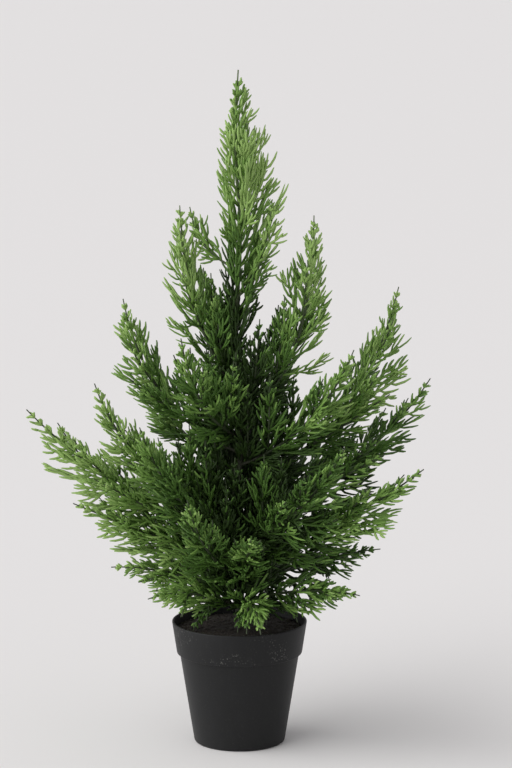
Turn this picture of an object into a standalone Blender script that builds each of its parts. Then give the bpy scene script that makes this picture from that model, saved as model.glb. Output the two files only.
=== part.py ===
"""Artificial thuja, about 60 cm tall, in a 12 cm black plastic nursery pot.

Metres, +Z up. The origin is the middle of the pot's flat underside, and the plant's front
faces -Y. Each bough is a tapering limb that leaves the trunk and ends where its mass of foliage
begins. A mass is a three-sided stem with side shoots, and toothed fronds that stand out of it.
"""

import math
import random

import bmesh
import bpy
from mathutils import Vector
from mathutils.bvhtree import BVHTree

GAP = 0.0003

# Pot: a turned plastic shell with a stepped rim band
POT_HEIGHT = 0.110
POT_FOOT_RADIUS = 0.0407
POT_RIM_RADIUS = 0.060
BAND_HEIGHT = 0.029
BAND_STEP = 0.0026
BODY_TOP_RADIUS = 0.0533
POT_WALL = 0.0018
POT_FLOOR = 0.0030
POT_CORNER = 0.0030
BAND_EDGE = 0.0010
POT_SIDES = 32

# Fill: the ballast and loose soil that the trunk stands on. Its mound is given as shares of the
# rim's radius and of the mound's height
FILL_BELOW_RIM = 0.009
FILL_MOUND = 0.0015
FILL_MOUND_STEPS = ((0.75, 0.4), (0.50, 0.8))
FILL_RELIEF = 0.0012
FILL_FLAT_RADIUS = 0.012

# Trunk: one wrapped stem from the soil to the tip of the leader
TRUNK_TOP = 0.598
TRUNK_FOOT_RADIUS = 0.0035
TRUNK_TIP_RADIUS = 0.0006
TRUNK_FLARE = 0.0018
TRUNK_FLARE_HEIGHT = 0.010
TRUNK_SWAY = 0.0020
TRUNK_SWAY_PITCH = 0.175
TRUNK_SWAY_FROM = 0.236
TRUNK_SETTLE_HEIGHT = 0.08
TRUNK_LEAN = -0.0015
TRUNK_SIDES = 6
TRUNK_RINGS = 15
TRUNK_FLARE_RINGS = (0.006, 0.016)

# Boughs and the stems that grow on from them
BOUGH_RADIUS = 0.0016
STEM_RADIUS = 0.0013
SHOOT_RADIUS = 0.0010
BUD_RADIUS = 0.0005
BUD_TAPER = 0.010
BOUGH_SHARE = 0.14
BOUGH_LEAST = 0.014
BOUGH_START = 1.6
BOUGH_SIDES = 5
BOUGH_RINGS = 4
STEM_SIDES = 3
STEM_RINGS = 7
BARE_TIP = 0.014
CURVE_STEPS = 60

# Side shoots: where the first and the next leave a stem, as shares of it, then how they lie
SHOOT_FROM = 0.16
SHOOT_EVERY = 0.22
SHOOT_SPREAD = 0.75
SHOOT_RISE = 0.12
SHOOT_SHARE = 0.46
SHOOT_BEND = 0.25
SHOOT_RINGS = 4

# Fronds: flat toothed blades, each with pairs of prongs and one at its end
FROND_LEAST = 0.009
FROND_MOST = 0.050
FROND_GROWTH = 0.44
FROND_PITCH = 0.0178
SHOOT_FROND_PITCH = 0.0270
FROND_MARGIN = 0.004
FROND_HALF_WIDTH = 0.0011
FROND_ROOT_SHARE = 0.85
TIP_PITCH = 0.55
TIP_PITCH_GROWTH = 6.0
FROND_LEAN_DEG = 42.0
FROND_CURL = 0.20
FROND_KEEL = 0.0011
FROND_TWIST_DEG = 38.0
PAIRED_FROM = (0.018, 0.037)
PRONGS_START = 0.20
PRONGS_END = 0.84
PRONG_ANGLE_DEG = 36.0
PRONG_SHARE = 0.52
PRONG_MOST = 0.020
PRONG_TAPER = 0.12
GOLDEN_ANGLE_DEG = 137.5
CLEARANCE = 0.0005

# A mass that reaches further than this has shorter fronds near its tip
FULL_REACH = 0.090
SLIMMER = 4.0
SLIM_LENGTH = 0.130

# Leader: the foliage round the upper trunk, longer on its right and shorter again at its foot
LEADER_FOOT = 0.348
LEADER_HEAD = 0.574
LEADER_WALL = 0.0009
LEADER_RINGS = 9
LEADER_PITCH = 0.0104
LEADER_TIP_PITCH = 0.5
LEADER_TIP_PITCH_GROWTH = 4.0
LEADER_FROND_MOST = 0.050
LEADER_FROND_HALF_WIDTH = 0.0010
LEADER_LOPSIDED = 0.35
LEADER_FOOT_SHARE = 0.25
LEADER_FOOT_FADE = 0.200
BORE_BELOW = 0.020
BORE_ABOVE = 0.018

# The leader's own side shoots: height on the trunk, azimuth, reach of the tip, height of the tip
LEADER_SHOOTS = ((0.424, 178, 0.043, 0.479), (0.400, -30, 0.033, 0.487))
LEADER_SHOOT_FROND_MOST = 0.022
LEADER_SHOOT_BEND_OUT = 0.85
LEADER_SHOOT_BEND_UP = 0.25

# name, height on the trunk, azimuth in degrees from +X, reach of the tip, height of the tip,
# then the share of the reach and of the rise at which the bough bends upwards, and side shoots
BOUGHS = (
    ("upper_left", 0.312, 175, 0.052, 0.480, 0.90, 0.35, 0),
    ("upper_right", 0.299, -10, 0.066, 0.473, 0.97, 0.14, 0),
    ("upper_rear", 0.334, 125, 0.056, 0.420, 0.80, 0.30, 0),
    ("mid_left_front", 0.275, -125, 0.086, 0.374, 0.78, 0.25, 0),
    ("mid_rear_right", 0.268, 65, 0.100, 0.378, 0.78, 0.28, 0),
    ("mid_left", 0.261, 170, 0.104, 0.396, 0.80, 0.22, 1),
    ("mid_right_front", 0.250, -30, 0.114, 0.362, 0.70, 0.30, 0),
    ("mid_rear_left", 0.243, 145, 0.110, 0.335, 0.76, 0.30, 0),
    ("mid_right", 0.234, 12, 0.144, 0.405, 0.78, 0.18, 1),
    ("low_rear", 0.214, 90, 0.140, 0.288, 0.70, 0.35, 1),
    ("low_left", 0.205, -170, 0.128, 0.327, 0.75, 0.22, 1),
    ("low_rear_right", 0.197, 48, 0.152, 0.262, 0.65, 0.45, 1),
    ("far_right", 0.190, 8, 0.171, 0.324, 0.70, 0.40, 1),
    ("front_left", 0.184, -140, 0.111, 0.297, 0.72, 0.30, 0),
    ("low_rear_left", 0.178, 132, 0.150, 0.262, 0.65, 0.45, 1),
    ("front_right", 0.177, -50, 0.140, 0.286, 0.66, 0.36, 1),
    ("far_left", 0.171, 178, 0.188, 0.299, 0.62, 0.42, 1),
    ("low_right_front", 0.162, -25, 0.175, 0.261, 0.62, 0.45, 1),
    ("left_second", 0.157, -174, 0.147, 0.219, 0.62, 0.60, 0),
    ("front_left_low", 0.149, -115, 0.104, 0.238, 0.75, 0.35, 0),
    ("front_centre", 0.145, -84, 0.100, 0.205, 0.66, 0.60, 0),
    ("bottom_right", 0.141, 5, 0.126, 0.172, 0.60, 0.90, 0),
    ("bottom_rear_left", 0.137, 128, 0.128, 0.165, 0.60, 0.90, 0),
    ("bottom_left", 0.133, 180, 0.114, 0.158, 0.60, 1.10, 0),
    ("bottom_rear_right", 0.131, 64, 0.128, 0.165, 0.60, 0.90, 0),
    ("bottom_right_front", 0.127, -34, 0.126, 0.149, 0.60, 1.20, 0),
    ("bottom_left_front", 0.122, -150, 0.092, 0.140, 0.60, 1.50, 0),
    ("front_low", 0.120, -79, 0.098, 0.121, 0.70, 36.0, 0),
)

BLACK_PLASTIC = ("black_plastic", (0.018, 0.018, 0.019), 0.55)
SOIL = ("soil", (0.030, 0.020, 0.012), 0.95)
STEM_GREEN = ("stem_green", (0.020, 0.032, 0.014), 0.60)
LEAF_GREEN = ("leaf_green", (0.045, 0.110, 0.022), 0.50)


def clear_scene():
    for obj in list(bpy.data.objects):
        bpy.data.objects.remove(obj, do_unlink=True)


def material(look):
    """A plain plastic or soil surface, made once and then shared."""
    name, colour, roughness = look
    made = bpy.data.materials.get(name)
    if made is None:
        made = bpy.data.materials.new(name)
        made.use_nodes = True
        shader = made.node_tree.nodes["Principled BSDF"]
        shader.inputs["Base Color"].default_value = (*colour, 1.0)
        shader.inputs["Roughness"].default_value = roughness
        shader.inputs["Metallic"].default_value = 0.0
    return made


def object_from(name, verts, faces, look):
    """One closed mesh object with its normals facing out."""
    mesh = bpy.data.meshes.new(name)
    mesh.from_pydata([tuple(v) for v in verts], [], faces)
    shape = bmesh.new()
    shape.from_mesh(mesh)
    bmesh.ops.recalc_face_normals(shape, faces=shape.faces)
    shape.to_mesh(mesh)
    shape.free()
    mesh.materials.append(material(look))
    obj = bpy.data.objects.new(name, mesh)
    bpy.context.scene.collection.objects.link(obj)
    return obj


def turned(name, profile, sides, look):
    """A closed body turned about Z from a profile of (radius, height) that starts and ends on the axis."""
    shape = bmesh.new()
    chain = [shape.verts.new((radius, 0.0, height)) for radius, height in profile]
    edges = [shape.edges.new(pair) for pair in zip(chain, chain[1:])]
    bmesh.ops.spin(
        shape, geom=chain + edges, cent=(0, 0, 0), axis=(0, 0, 1), angle=math.tau, steps=sides, use_merge=True
    )
    bmesh.ops.remove_doubles(shape, verts=shape.verts, dist=1e-6)
    bmesh.ops.recalc_face_normals(shape, faces=shape.faces)
    mesh = bpy.data.meshes.new(name)
    shape.to_mesh(mesh)
    shape.free()
    mesh.shade_smooth()
    mesh.set_sharp_from_angle(angle=math.radians(35))
    mesh.materials.append(material(look))
    obj = bpy.data.objects.new(name, mesh)
    bpy.context.scene.collection.objects.link(obj)
    return obj


# Pot and fill


def pot_inner_radius(height):
    """Inner radius of the pot's wall at a height, below and above the step of its rim band."""
    step = POT_HEIGHT - BAND_HEIGHT
    if height < step:
        share = height / step
        return POT_FOOT_RADIUS + (BODY_TOP_RADIUS - POT_FOOT_RADIUS) * share - POT_WALL
    share = (height - step) / BAND_HEIGHT
    low = BODY_TOP_RADIUS + BAND_STEP
    return low + (POT_RIM_RADIUS - low) * share - POT_WALL


def build_pot():
    step = POT_HEIGHT - BAND_HEIGHT
    band_foot = BODY_TOP_RADIUS + BAND_STEP
    lip = POT_WALL / 2
    profile = [
        (0.0, 0.0),
        (POT_FOOT_RADIUS - POT_CORNER, 0.0),
        (POT_FOOT_RADIUS - 0.3 * POT_CORNER, 0.3 * POT_CORNER),
        (POT_FOOT_RADIUS + 0.1 * POT_CORNER, POT_CORNER),
        (BODY_TOP_RADIUS, step),
        (band_foot - 0.7 * BAND_EDGE, step),
        (band_foot, step + BAND_EDGE),
        (POT_RIM_RADIUS, POT_HEIGHT - lip),
        (POT_RIM_RADIUS - lip, POT_HEIGHT),
        (POT_RIM_RADIUS - POT_WALL, POT_HEIGHT - lip),
        (pot_inner_radius(step + POT_WALL), step + POT_WALL),
        (pot_inner_radius(step - GAP), step - GAP),
        (pot_inner_radius(POT_FLOOR), POT_FLOOR),
        (0.0, POT_FLOOR),
    ]
    return turned("pot", profile, POT_SIDES, BLACK_PLASTIC)


def fill_top():
    """Height of the level patch of soil that the trunk stands on."""
    return POT_HEIGHT - FILL_BELOW_RIM + FILL_MOUND


def build_fill():
    step = POT_HEIGHT - BAND_HEIGHT
    floor = POT_FLOOR + GAP
    brim = POT_HEIGHT - FILL_BELOW_RIM
    profile = [
        (0.0, floor),
        (pot_inner_radius(floor) - GAP, floor),
        (pot_inner_radius(step - 2 * GAP) - GAP, step - 2 * GAP),
        (pot_inner_radius(step + POT_WALL + GAP) - GAP, step + POT_WALL + GAP),
        (pot_inner_radius(brim) - GAP, brim),
        *((out * POT_RIM_RADIUS, brim + up * FILL_MOUND) for out, up in FILL_MOUND_STEPS),
        (FILL_FLAT_RADIUS, fill_top()),
        (0.0, fill_top()),
    ]
    fill = turned("fill", profile, POT_SIDES // 2, SOIL)
    rng = random.Random(7)
    for vertex in fill.data.vertices:
        radius = math.hypot(vertex.co.x, vertex.co.y)
        if vertex.co.z > brim and FILL_FLAT_RADIUS * 1.2 < radius < 0.8 * POT_RIM_RADIUS:
            vertex.co.z += rng.uniform(-FILL_RELIEF, FILL_RELIEF / 2)
    return fill


# Limbs


def trunk_heights():
    """Heights of the trunk's rings, closer together at its flared foot."""
    foot = fill_top() + GAP
    heights = [foot] + [foot + rise for rise in TRUNK_FLARE_RINGS]
    rest = TRUNK_RINGS - len(heights)
    return heights + [heights[-1] + (TRUNK_TOP - heights[-1]) * (i + 1) / rest for i in range(rest)]


def trunk_ring(height):
    """Centre and radius of one ring. The trunk sways a little, leans at its tip and flares at its foot."""
    above = height - fill_top()
    settle = min(1.0, above / TRUNK_SETTLE_HEIGHT)
    sway = TRUNK_SWAY * settle * math.sin(math.tau * (height - TRUNK_SWAY_FROM) / TRUNK_SWAY_PITCH)
    share = above / (TRUNK_TOP - fill_top())
    flare = TRUNK_FLARE * math.exp(-above / TRUNK_FLARE_HEIGHT)
    radius = TRUNK_FOOT_RADIUS + (TRUNK_TIP_RADIUS - TRUNK_FOOT_RADIUS) * share + flare
    return Vector((sway + TRUNK_LEAN * share, 0.4 * sway, height)), radius


def trunk_at(height):
    """Centre and radius at any height, straight between the rings as the faceted trunk is."""
    heights = trunk_heights()
    i = 0
    while i < len(heights) - 2 and heights[i + 1] < height:
        i += 1
    share = (height - heights[i]) / (heights[i + 1] - heights[i])
    (low, low_radius), (high, high_radius) = trunk_ring(heights[i]), trunk_ring(heights[i + 1])
    return low.lerp(high, share), low_radius + (high_radius - low_radius) * share


def trunk_point(height):
    return trunk_at(height)[0]


def trunk_radius(height):
    return trunk_at(height)[1]


def rings_along(points, radii, sides, phase=0.0):
    """Rings of a tube round a line of points, carried along without twist."""
    rings = []
    across = None
    for i, point in enumerate(points):
        ahead = (points[min(i + 1, len(points) - 1)] - points[max(i - 1, 0)]).normalized()
        if across is None:
            across = ahead.orthogonal().normalized()
        across = (across - ahead * across.dot(ahead)).normalized()
        up = ahead.cross(across)
        ring = []
        for k in range(sides):
            turn = phase + math.tau * k / sides
            ring.append(point + radii[i] * (math.cos(turn) * across + math.sin(turn) * up))
        rings.append(ring)
    return rings


def tube_from_rings(rings, pointed=False):
    """Verts and faces of a closed tube. With pointed, its last ring is drawn in to one vertex."""
    sides = len(rings[0])
    verts = [v for ring in rings for v in ring]
    faces = [tuple(range(sides))]
    for i in range(len(rings) - 1):
        for k in range(sides):
            a, b = i * sides + k, i * sides + (k + 1) % sides
            faces.append((a, b, b + sides, a + sides))
    last = (len(rings) - 1) * sides
    if pointed:
        middle = sum(rings[-1], Vector()) / sides
        verts = verts[:last] + [middle]
        faces = [f for f in faces if max(f) < last]
        faces += [(last - sides + k, last - sides + (k + 1) % sides, last) for k in range(sides)]
    else:
        faces.append(tuple(range(last, last + sides)))
    return verts, faces


def trunk_rings(spare, low, high):
    """Rings of the trunk, or of a sleeve round it, facet for facet in line with each other."""
    heights = sorted({h for h in trunk_heights() if h < high} | {low, high})
    points = [trunk_point(h) for h in heights]
    wider = spare / math.cos(math.pi / TRUNK_SIDES)
    rings = rings_along(points, [trunk_radius(h) + wider for h in heights], TRUNK_SIDES)
    return rings[heights.index(low) :]


def build_trunk():
    foot = trunk_heights()[0]
    rings = trunk_rings(0.0, foot, TRUNK_TOP)
    for vertex in rings[0]:
        vertex.z = foot
    verts, faces = tube_from_rings(rings, pointed=True)
    return object_from("trunk", verts, faces, STEM_GREEN)


class Branch:
    """The line of one bough and the stem that grows on from it, from the trunk's centre to the tip."""

    def __init__(self, row):
        self.name, foot, azimuth, reach, tip, bend_out, bend_up, self.shoots = row
        turn = math.radians(azimuth)
        out = Vector((math.cos(turn), math.sin(turn), 0.0))
        self.start = trunk_point(foot)
        self.end = Vector((reach * out.x, reach * out.y, tip))
        rise = tip - foot
        self.bend = Vector((bend_out * reach * out.x, bend_out * reach * out.y, foot + bend_up * rise))
        self.trunk_radius = trunk_radius(foot)
        self.fullness = 1.0 - SLIMMER * max(0.0, reach - FULL_REACH)
        points = [self.at(i / CURVE_STEPS) for i in range(CURVE_STEPS + 1)]
        self.table = [0.0]
        for a, b in zip(points, points[1:]):
            self.table.append(self.table[-1] + (b - a).length)
        self.length = self.table[-1]

    def at(self, t):
        return (1 - t) ** 2 * self.start + 2 * t * (1 - t) * self.bend + t * t * self.end

    def along(self, distance):
        """Point and direction at a distance from the trunk's centre."""
        i = 0
        while i < CURVE_STEPS - 1 and self.table[i + 1] < distance:
            i += 1
        share = (distance - self.table[i]) / (self.table[i + 1] - self.table[i])
        t = (i + share) / CURVE_STEPS
        ahead = 2 * (1 - t) * (self.bend - self.start) + 2 * t * (self.end - self.bend)
        return self.at(t), ahead.normalized()

    def mass_start(self):
        return self.trunk_radius + max(BOUGH_LEAST, BOUGH_SHARE * self.length)


def build_bough(branch):
    """The limb from the trunk to the foot of its foliage, its own foot cut to the trunk's round side."""
    first, last = branch.trunk_radius * BOUGH_START, branch.mass_start()
    stations = [first + (last - first) * i / (BOUGH_RINGS - 1) for i in range(BOUGH_RINGS)]
    radii = [BOUGH_RADIUS + (STEM_RADIUS - BOUGH_RADIUS) * i / (BOUGH_RINGS - 1) for i in range(BOUGH_RINGS)]
    points = [branch.along(s)[0] for s in stations]
    rings = rings_along(points, radii, BOUGH_SIDES)
    ahead = branch.along(first)[1]
    clear = branch.trunk_radius + GAP
    rings[0] = [cope(vertex, ahead, branch.start, clear) for vertex in rings[0]]
    verts, faces = tube_from_rings(rings)
    foot = faces.pop(0)
    hub = sum(rings[0], Vector()) / BOUGH_SIDES
    verts.append(cope(hub, ahead, branch.start, clear))
    faces += [(foot[k], foot[(k + 1) % BOUGH_SIDES], len(verts) - 1) for k in range(BOUGH_SIDES)]
    return object_from("bough_" + branch.name, verts, faces, STEM_GREEN)


def cope(point, ahead, centre, clear):
    """Slides a point along the bough until it stands clear of the upright trunk round centre."""
    flat = Vector((point.x - centre.x, point.y - centre.y))
    way = Vector((ahead.x, ahead.y))
    a, b, c = way.dot(way), 2 * flat.dot(way), flat.dot(flat) - clear * clear
    root = max(0.0, b * b - 4 * a * c)
    return point + ahead * (-b + math.sqrt(root)) / (2 * a)


# Foliage


def stem_radius(left, thickest):
    """Radius of a stem where this much of it is left before its tip."""
    return min(thickest, BUD_RADIUS + BUD_TAPER * left)


def frond_length(left, most, full=1.0):
    """Fronds are short beside the tip and longest further down, and a slim mass widens later."""
    slim = full + (1.0 - full) * min(1.0, left / SLIM_LENGTH)
    return min(most, FROND_LEAST + slim * FROND_GROWTH * max(0.0, left - BARE_TIP))


def frond_mesh(root, ahead, out, length, half_width, twist, swell=0.0):
    """A toothed blade with a keel. It leaves its stem at root, leans outwards and curls back along it."""
    lean = math.radians(FROND_LEAN_DEG)
    along = (math.cos(lean) * ahead + math.sin(lean) * out).normalized()
    tangent = ahead.cross(out).normalized()
    inwards = tangent.cross(along)
    if inwards.dot(ahead) < 0:
        inwards = -inwards
    across = math.cos(twist) * tangent + math.sin(twist) * inwards
    under = across.cross(along)
    pairs = 1 + sum(length > least for least in PAIRED_FROM)
    prong = math.radians(PRONG_ANGLE_DEG)

    def spine(u):
        return root + length * (u * along + FROND_CURL * u * u * inwards)

    verts, faces = [], []
    rows = [0.0] + [PRONGS_START + (PRONGS_END - PRONGS_START) * k / pairs for k in range(pairs + 1)]
    for row, u in enumerate(rows):
        wide = half_width * (1.0 - 0.2 * max(0, row - 1)) + swell
        verts.append(spine(u) + wide * across)
        verts.append(spine(u) - wide * across)
        verts.append(spine(u) + (FROND_KEEL + swell) * under)
    faces.append((0, 1, 2))
    faces.append((0, 3, 4, 1))
    faces.append((0, 2, 5, 3))
    faces.append((1, 4, 5, 2))
    for k in range(pairs):
        low, high = 3 * (k + 1), 3 * (k + 2)
        faces.append((low, high, high + 1, low + 1))
        middle = (rows[k + 1] + rows[k + 2]) / 2
        aim = math.cos(prong) * (spine(middle + 0.05) - spine(middle - 0.05)).normalized()
        reach = min(PRONG_MOST, PRONG_SHARE * length) * (1.0 - PRONG_TAPER * k) + swell
        for side in (0, 1):
            verts.append(spine(middle) + reach * (aim + (1 - 2 * side) * math.sin(prong) * across))
            tip = len(verts) - 1
            faces.append((low + side, high + side, tip))
            faces.append((low + side, low + 2, tip))
            faces.append((low + 2, high + 2, tip))
            faces.append((high + 2, high + side, tip))
    end = 3 * (pairs + 1)
    verts.append(spine(1.0) + swell * along)
    tip = len(verts) - 1
    faces += [(end, end + 1, tip), (end + 1, end + 2, tip), (end + 2, end, tip)]
    return verts, faces


class Stem:
    """One leafy line: points from its foot to its tip, and how its fronds stand."""

    def __init__(self, points, thickest, phase, pitch, most=FROND_MOST, full=1.0):
        self.points = points
        self.thickest = thickest
        self.phase = phase
        self.pitch = pitch
        self.most = most
        self.full = full
        self.reach = [0.0]
        for a, b in zip(points, points[1:]):
            self.reach.append(self.reach[-1] + (b - a).length)
        self.length = self.reach[-1]

    def at(self, distance):
        i = 0
        while i < len(self.reach) - 2 and self.reach[i + 1] < distance:
            i += 1
        share = (distance - self.reach[i]) / (self.reach[i + 1] - self.reach[i])
        ahead = (self.points[i + 1] - self.points[i]).normalized()
        return self.points[i].lerp(self.points[i + 1], share), ahead

    def mesh(self):
        radii = [stem_radius(self.length - reach, self.thickest) for reach in self.reach]
        return tube_from_rings(rings_along(self.points, radii, STEM_SIDES), pointed=True)

    def stations(self):
        """Distance left before the tip for each frond, closer together near the tip."""
        left, found = BARE_TIP + FROND_MARGIN, []
        while left < self.length - FROND_MARGIN:
            found.append(left)
            left += self.pitch * min(1.0, TIP_PITCH + TIP_PITCH_GROWTH * (left - BARE_TIP))
        return found


def stems_of(branch, rng):
    """The stem of a mass and its side shoots, which leave it to the left and right in turn."""
    foot = branch.mass_start() + GAP
    step = (branch.length - foot) / (STEM_RINGS - 1)
    points = [branch.along(foot + step * i)[0] for i in range(STEM_RINGS)]
    main = Stem(points, STEM_RADIUS, rng.uniform(0, 360), FROND_PITCH, full=branch.fullness)
    stems = [main]
    for k in range(branch.shoots):
        start, ahead = main.at(main.length * (SHOOT_FROM + SHOOT_EVERY * k))
        level = ahead.cross(Vector((0, 0, 1))).normalized() * (1 if (k + len(branch.name)) % 2 else -1)
        away = (ahead + SHOOT_SPREAD * level + Vector((0, 0, SHOOT_RISE))).normalized()
        length = SHOOT_SHARE * main.length * rng.uniform(0.9, 1.1)
        shares = [i / (SHOOT_RINGS - 1) for i in range(SHOOT_RINGS)]
        line = [start + length * u * (away + SHOOT_BEND * u * (ahead - away)) for u in shares]
        phase = rng.uniform(0, 360)
        stems.append(Stem(line, SHOOT_RADIUS, phase, SHOOT_FROND_PITCH, full=branch.fullness))
    return stems


def fronds_of(stem, rng):
    """Placed fronds: root, way of the stem, way outwards, length, half width and twist."""
    placed = []
    for k, left in enumerate(stem.stations()):
        width = min(FROND_HALF_WIDTH, FROND_ROOT_SHARE * stem_radius(left, stem.thickest))
        length = frond_length(left, stem.most, stem.full) * rng.uniform(0.9, 1.1)
        placed.append((*whorled(stem, left, k, rng), length, width, frond_twist(k)))
    return placed


def whorled(stem, left, number, rng):
    """Root and ways of the next frond round a stem, turned on from the last by the golden angle."""
    root, ahead = stem.at(stem.length - left)
    turn = math.radians(stem.phase + GOLDEN_ANGLE_DEG * number + rng.uniform(-12, 12))
    side = ahead.orthogonal().normalized()
    return root, ahead, math.cos(turn) * side + math.sin(turn) * ahead.cross(side)


def frond_twist(number):
    return math.radians(FROND_TWIST_DEG) * (1 if number % 2 else -1)


def tree_of(verts, faces):
    return BVHTree.FromPolygons([tuple(v) for v in verts], faces, epsilon=0.0)


def tree_of_object(obj):
    return tree_of([v.co for v in obj.data.vertices], [tuple(p.vertices) for p in obj.data.polygons])


def swollen_tree(stem):
    """A stem thickened by the clearance, for the tests."""
    radii = [stem_radius(stem.length - reach, stem.thickest) + CLEARANCE for reach in stem.reach]
    return tree_of(*tube_from_rings(rings_along(stem.points, radii, STEM_SIDES)))


def joined(name, base, leaves):
    """One Boolean union of a stem and all that grows out of it."""
    group = bpy.data.collections.new(name + "_pieces")
    bpy.context.scene.collection.children.link(group)
    for i, (verts, faces) in enumerate(leaves):
        piece = object_from(f"{name}_piece_{i}", verts, faces, LEAF_GREEN)
        bpy.context.scene.collection.objects.unlink(piece)
        group.objects.link(piece)
    mass = object_from(name, *base, LEAF_GREEN)
    union = mass.modifiers.new("union", "BOOLEAN")
    union.operation = "UNION"
    union.operand_type = "COLLECTION"
    union.collection = group
    union.solver = "EXACT"
    apply_modifiers(mass)
    for piece in list(group.objects):
        bpy.data.objects.remove(piece, do_unlink=True)
    bpy.data.collections.remove(group)
    return mass


def apply_modifiers(obj):
    bpy.context.view_layer.update()
    evaluated = obj.evaluated_get(bpy.context.evaluated_depsgraph_get())
    mesh = bpy.data.meshes.new_from_object(evaluated)
    obj.modifiers.clear()
    old = obj.data
    obj.data = mesh
    bpy.data.meshes.remove(old)


def leader_stem():
    """The line of the trunk inside the leader's foliage."""
    rise = (LEADER_HEAD - LEADER_FOOT) / (LEADER_RINGS - 1)
    points = [trunk_point(LEADER_FOOT + rise * i) for i in range(LEADER_RINGS)]
    return Stem(points, STEM_RADIUS, 20.0, LEADER_PITCH, LEADER_FROND_MOST)


def leader_shoots():
    """The two small plumes low on the leader, rooted inside its hub."""
    shoots = []
    for number, (foot, azimuth, reach, tip) in enumerate(LEADER_SHOOTS):
        turn = math.radians(azimuth)
        start, end = trunk_point(foot), Vector((reach * math.cos(turn), reach * math.sin(turn), tip))
        bend = Vector((*(LEADER_SHOOT_BEND_OUT * end.xy), foot + LEADER_SHOOT_BEND_UP * (tip - foot)))
        shares = [i / (STEM_RINGS - 1) for i in range(STEM_RINGS)]
        line = [(1 - t) ** 2 * start + 2 * t * (1 - t) * bend + t * t * end for t in shares]
        phase = 90.0 * number
        shoots.append(Stem(line, SHOOT_RADIUS, phase, FROND_PITCH, LEADER_SHOOT_FROND_MOST))
    return shoots


def leader_hub():
    """A sleeve of foliage wire round the trunk that the leader's fronds and shoots grow from."""
    return tube_from_rings(trunk_rings(GAP + LEADER_WALL, LEADER_FOOT, LEADER_HEAD))


def leader_fronds(rng):
    """Fronds up the leader, sized by what is left of the trunk above them, and those of its shoots."""
    stem = leader_stem()
    placed = []
    spare = TRUNK_TOP - LEADER_HEAD
    left = FROND_MARGIN
    while left < stem.length - FROND_MARGIN:
        number = len(placed)
        root, ahead, out = whorled(stem, left, number, rng)
        room = min(1.0, LEADER_FOOT_SHARE + (stem.length - left) / LEADER_FOOT_FADE)
        room *= (1.0 + LEADER_LOPSIDED * out.x) * rng.uniform(0.9, 1.1)
        length = room * frond_length(left + spare, LEADER_FROND_MOST)
        placed.append((root, ahead, out, length, LEADER_FROND_HALF_WIDTH, frond_twist(number)))
        left += LEADER_PITCH * min(1.0, LEADER_TIP_PITCH + LEADER_TIP_PITCH_GROWTH * left)
    return placed + [frond for shoot in leader_shoots() for frond in fronds_of(shoot, rng)]


def cut_clear_of_trunk(mass):
    """Bores the leader's hub so that the trunk runs through it with a gap all round."""
    rings = trunk_rings(GAP, LEADER_FOOT - BORE_BELOW, LEADER_HEAD + BORE_ABOVE)
    cutter = object_from("trunk_cutter", *tube_from_rings(rings), STEM_GREEN)
    cutter.hide_render = True
    cutter.display_type = "WIRE"
    cut = mass.modifiers.new("trunk", "BOOLEAN")
    cut.operation = "DIFFERENCE"
    cut.object = cutter
    cut.solver = "EXACT"
    apply_modifiers(mass)
    bpy.data.objects.remove(cutter, do_unlink=True)


def grow_foliage(branches, solids):
    """Fronds are offered to the masses in turn, and one that would touch another piece is skipped."""
    leader = "foliage_leader"
    offers = {leader: leader_fronds(random.Random(100))}
    bases = {leader: leader_hub()}
    twigs = {leader: [shoot.mesh() for shoot in leader_shoots()]}
    taken = {leader: [tree_of(*bases[leader])] + [swollen_tree(shoot) for shoot in leader_shoots()]}
    for number, branch in enumerate(branches):
        name, rng = "foliage_" + branch.name, random.Random(200 + number)
        stems = stems_of(branch, rng)
        bases[name] = stems[0].mesh()
        twigs[name] = [stem.mesh() for stem in stems[1:]]
        offers[name] = [frond for stem in stems for frond in fronds_of(stem, rng)]
        taken[name] = [swollen_tree(stem) for stem in stems]
    names = list(offers)
    fixed = {obj.name: tree_of_object(obj) for obj in solids}
    leaves = {name: [] for name in names}
    for turn in range(max(len(offer) for offer in offers.values())):
        for name in names:
            if turn >= len(offers[name]):
                continue
            frond = offers[name][turn]
            swollen = tree_of(*frond_mesh(*frond, swell=CLEARANCE))
            others = [tree for other in names if other != name for tree in taken[other]]
            limbs = [tree for obj, tree in fixed.items() if (name, obj) != (leader, "trunk")]
            if any(swollen.overlap(tree) for tree in others + limbs):
                continue
            leaves[name].append(frond_mesh(*frond))
            taken[name].append(tree_of(*frond_mesh(*frond)))
    return {name: joined(name, bases[name], twigs[name] + leaves[name]) for name in names}


def main():
    clear_scene()
    pot = build_pot()
    fill = build_fill()
    trunk = build_trunk()
    branches = [Branch(row) for row in BOUGHS]
    boughs = [build_bough(branch) for branch in branches]
    masses = grow_foliage(branches, [pot, fill, trunk] + boughs)
    cut_clear_of_trunk(masses["foliage_leader"])


main()
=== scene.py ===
"""Artificial thuja in a black plastic nursery pot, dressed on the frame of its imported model.

The crown grows by the rule of the part's source. Each bough is a wire line that bends upwards, with
whorls of arms along it, and every arm carries a row of slim prongs to its left and right.
"""

import math
import random

import bpy
import numpy as np
from bpy.props import FloatProperty, FloatVectorProperty, IntProperty, PointerProperty
from mathutils import Matrix, Vector, noise


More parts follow.
